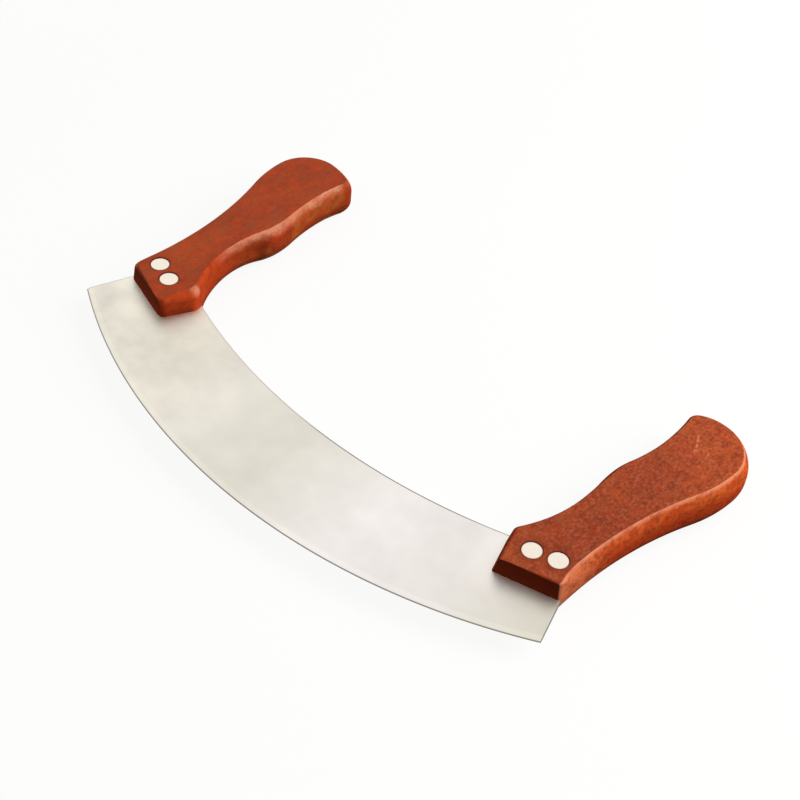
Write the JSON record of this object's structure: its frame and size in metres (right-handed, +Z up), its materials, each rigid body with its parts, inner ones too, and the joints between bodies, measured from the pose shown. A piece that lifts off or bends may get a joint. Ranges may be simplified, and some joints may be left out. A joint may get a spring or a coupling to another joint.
{
  "type": "rocking pizza knife",
  "caption": "Crescent steel blade riveted into upright wooden handles at both ends, gripped in two hands and rocked across a pizza to cut it.",
  "frame": {"origin": "middle of the knife's outline as it lies flat, on the surface under the handles", "axes": "+X along the blade from the left handle to the right one, +Y from the cutting edge towards the handles' free ends, +Z up through the blade's thickness"},
  "size_m": [0.2638, 0.167, 0.018],
  "materials": {
    "blade_steel": "satin",
    "handle_wood": "lacquered",
    "rivet_metal": "ground flush"
  },
  "bodies": {
    "root": {"blade": "blade_steel", "left_handle": "handle_wood", "right_handle": "handle_wood", "left_outer_rivet_tube": "rivet_metal", "left_outer_rivet_pin": "rivet_metal", "left_inner_rivet_tube": "rivet_metal", "left_inner_rivet_pin": "rivet_metal", "right_outer_rivet_tube": "rivet_metal", "right_outer_rivet_pin": "rivet_metal", "right_inner_rivet_tube": "rivet_metal", "right_inner_rivet_pin": "rivet_metal"}
  },
  "joints": []
}
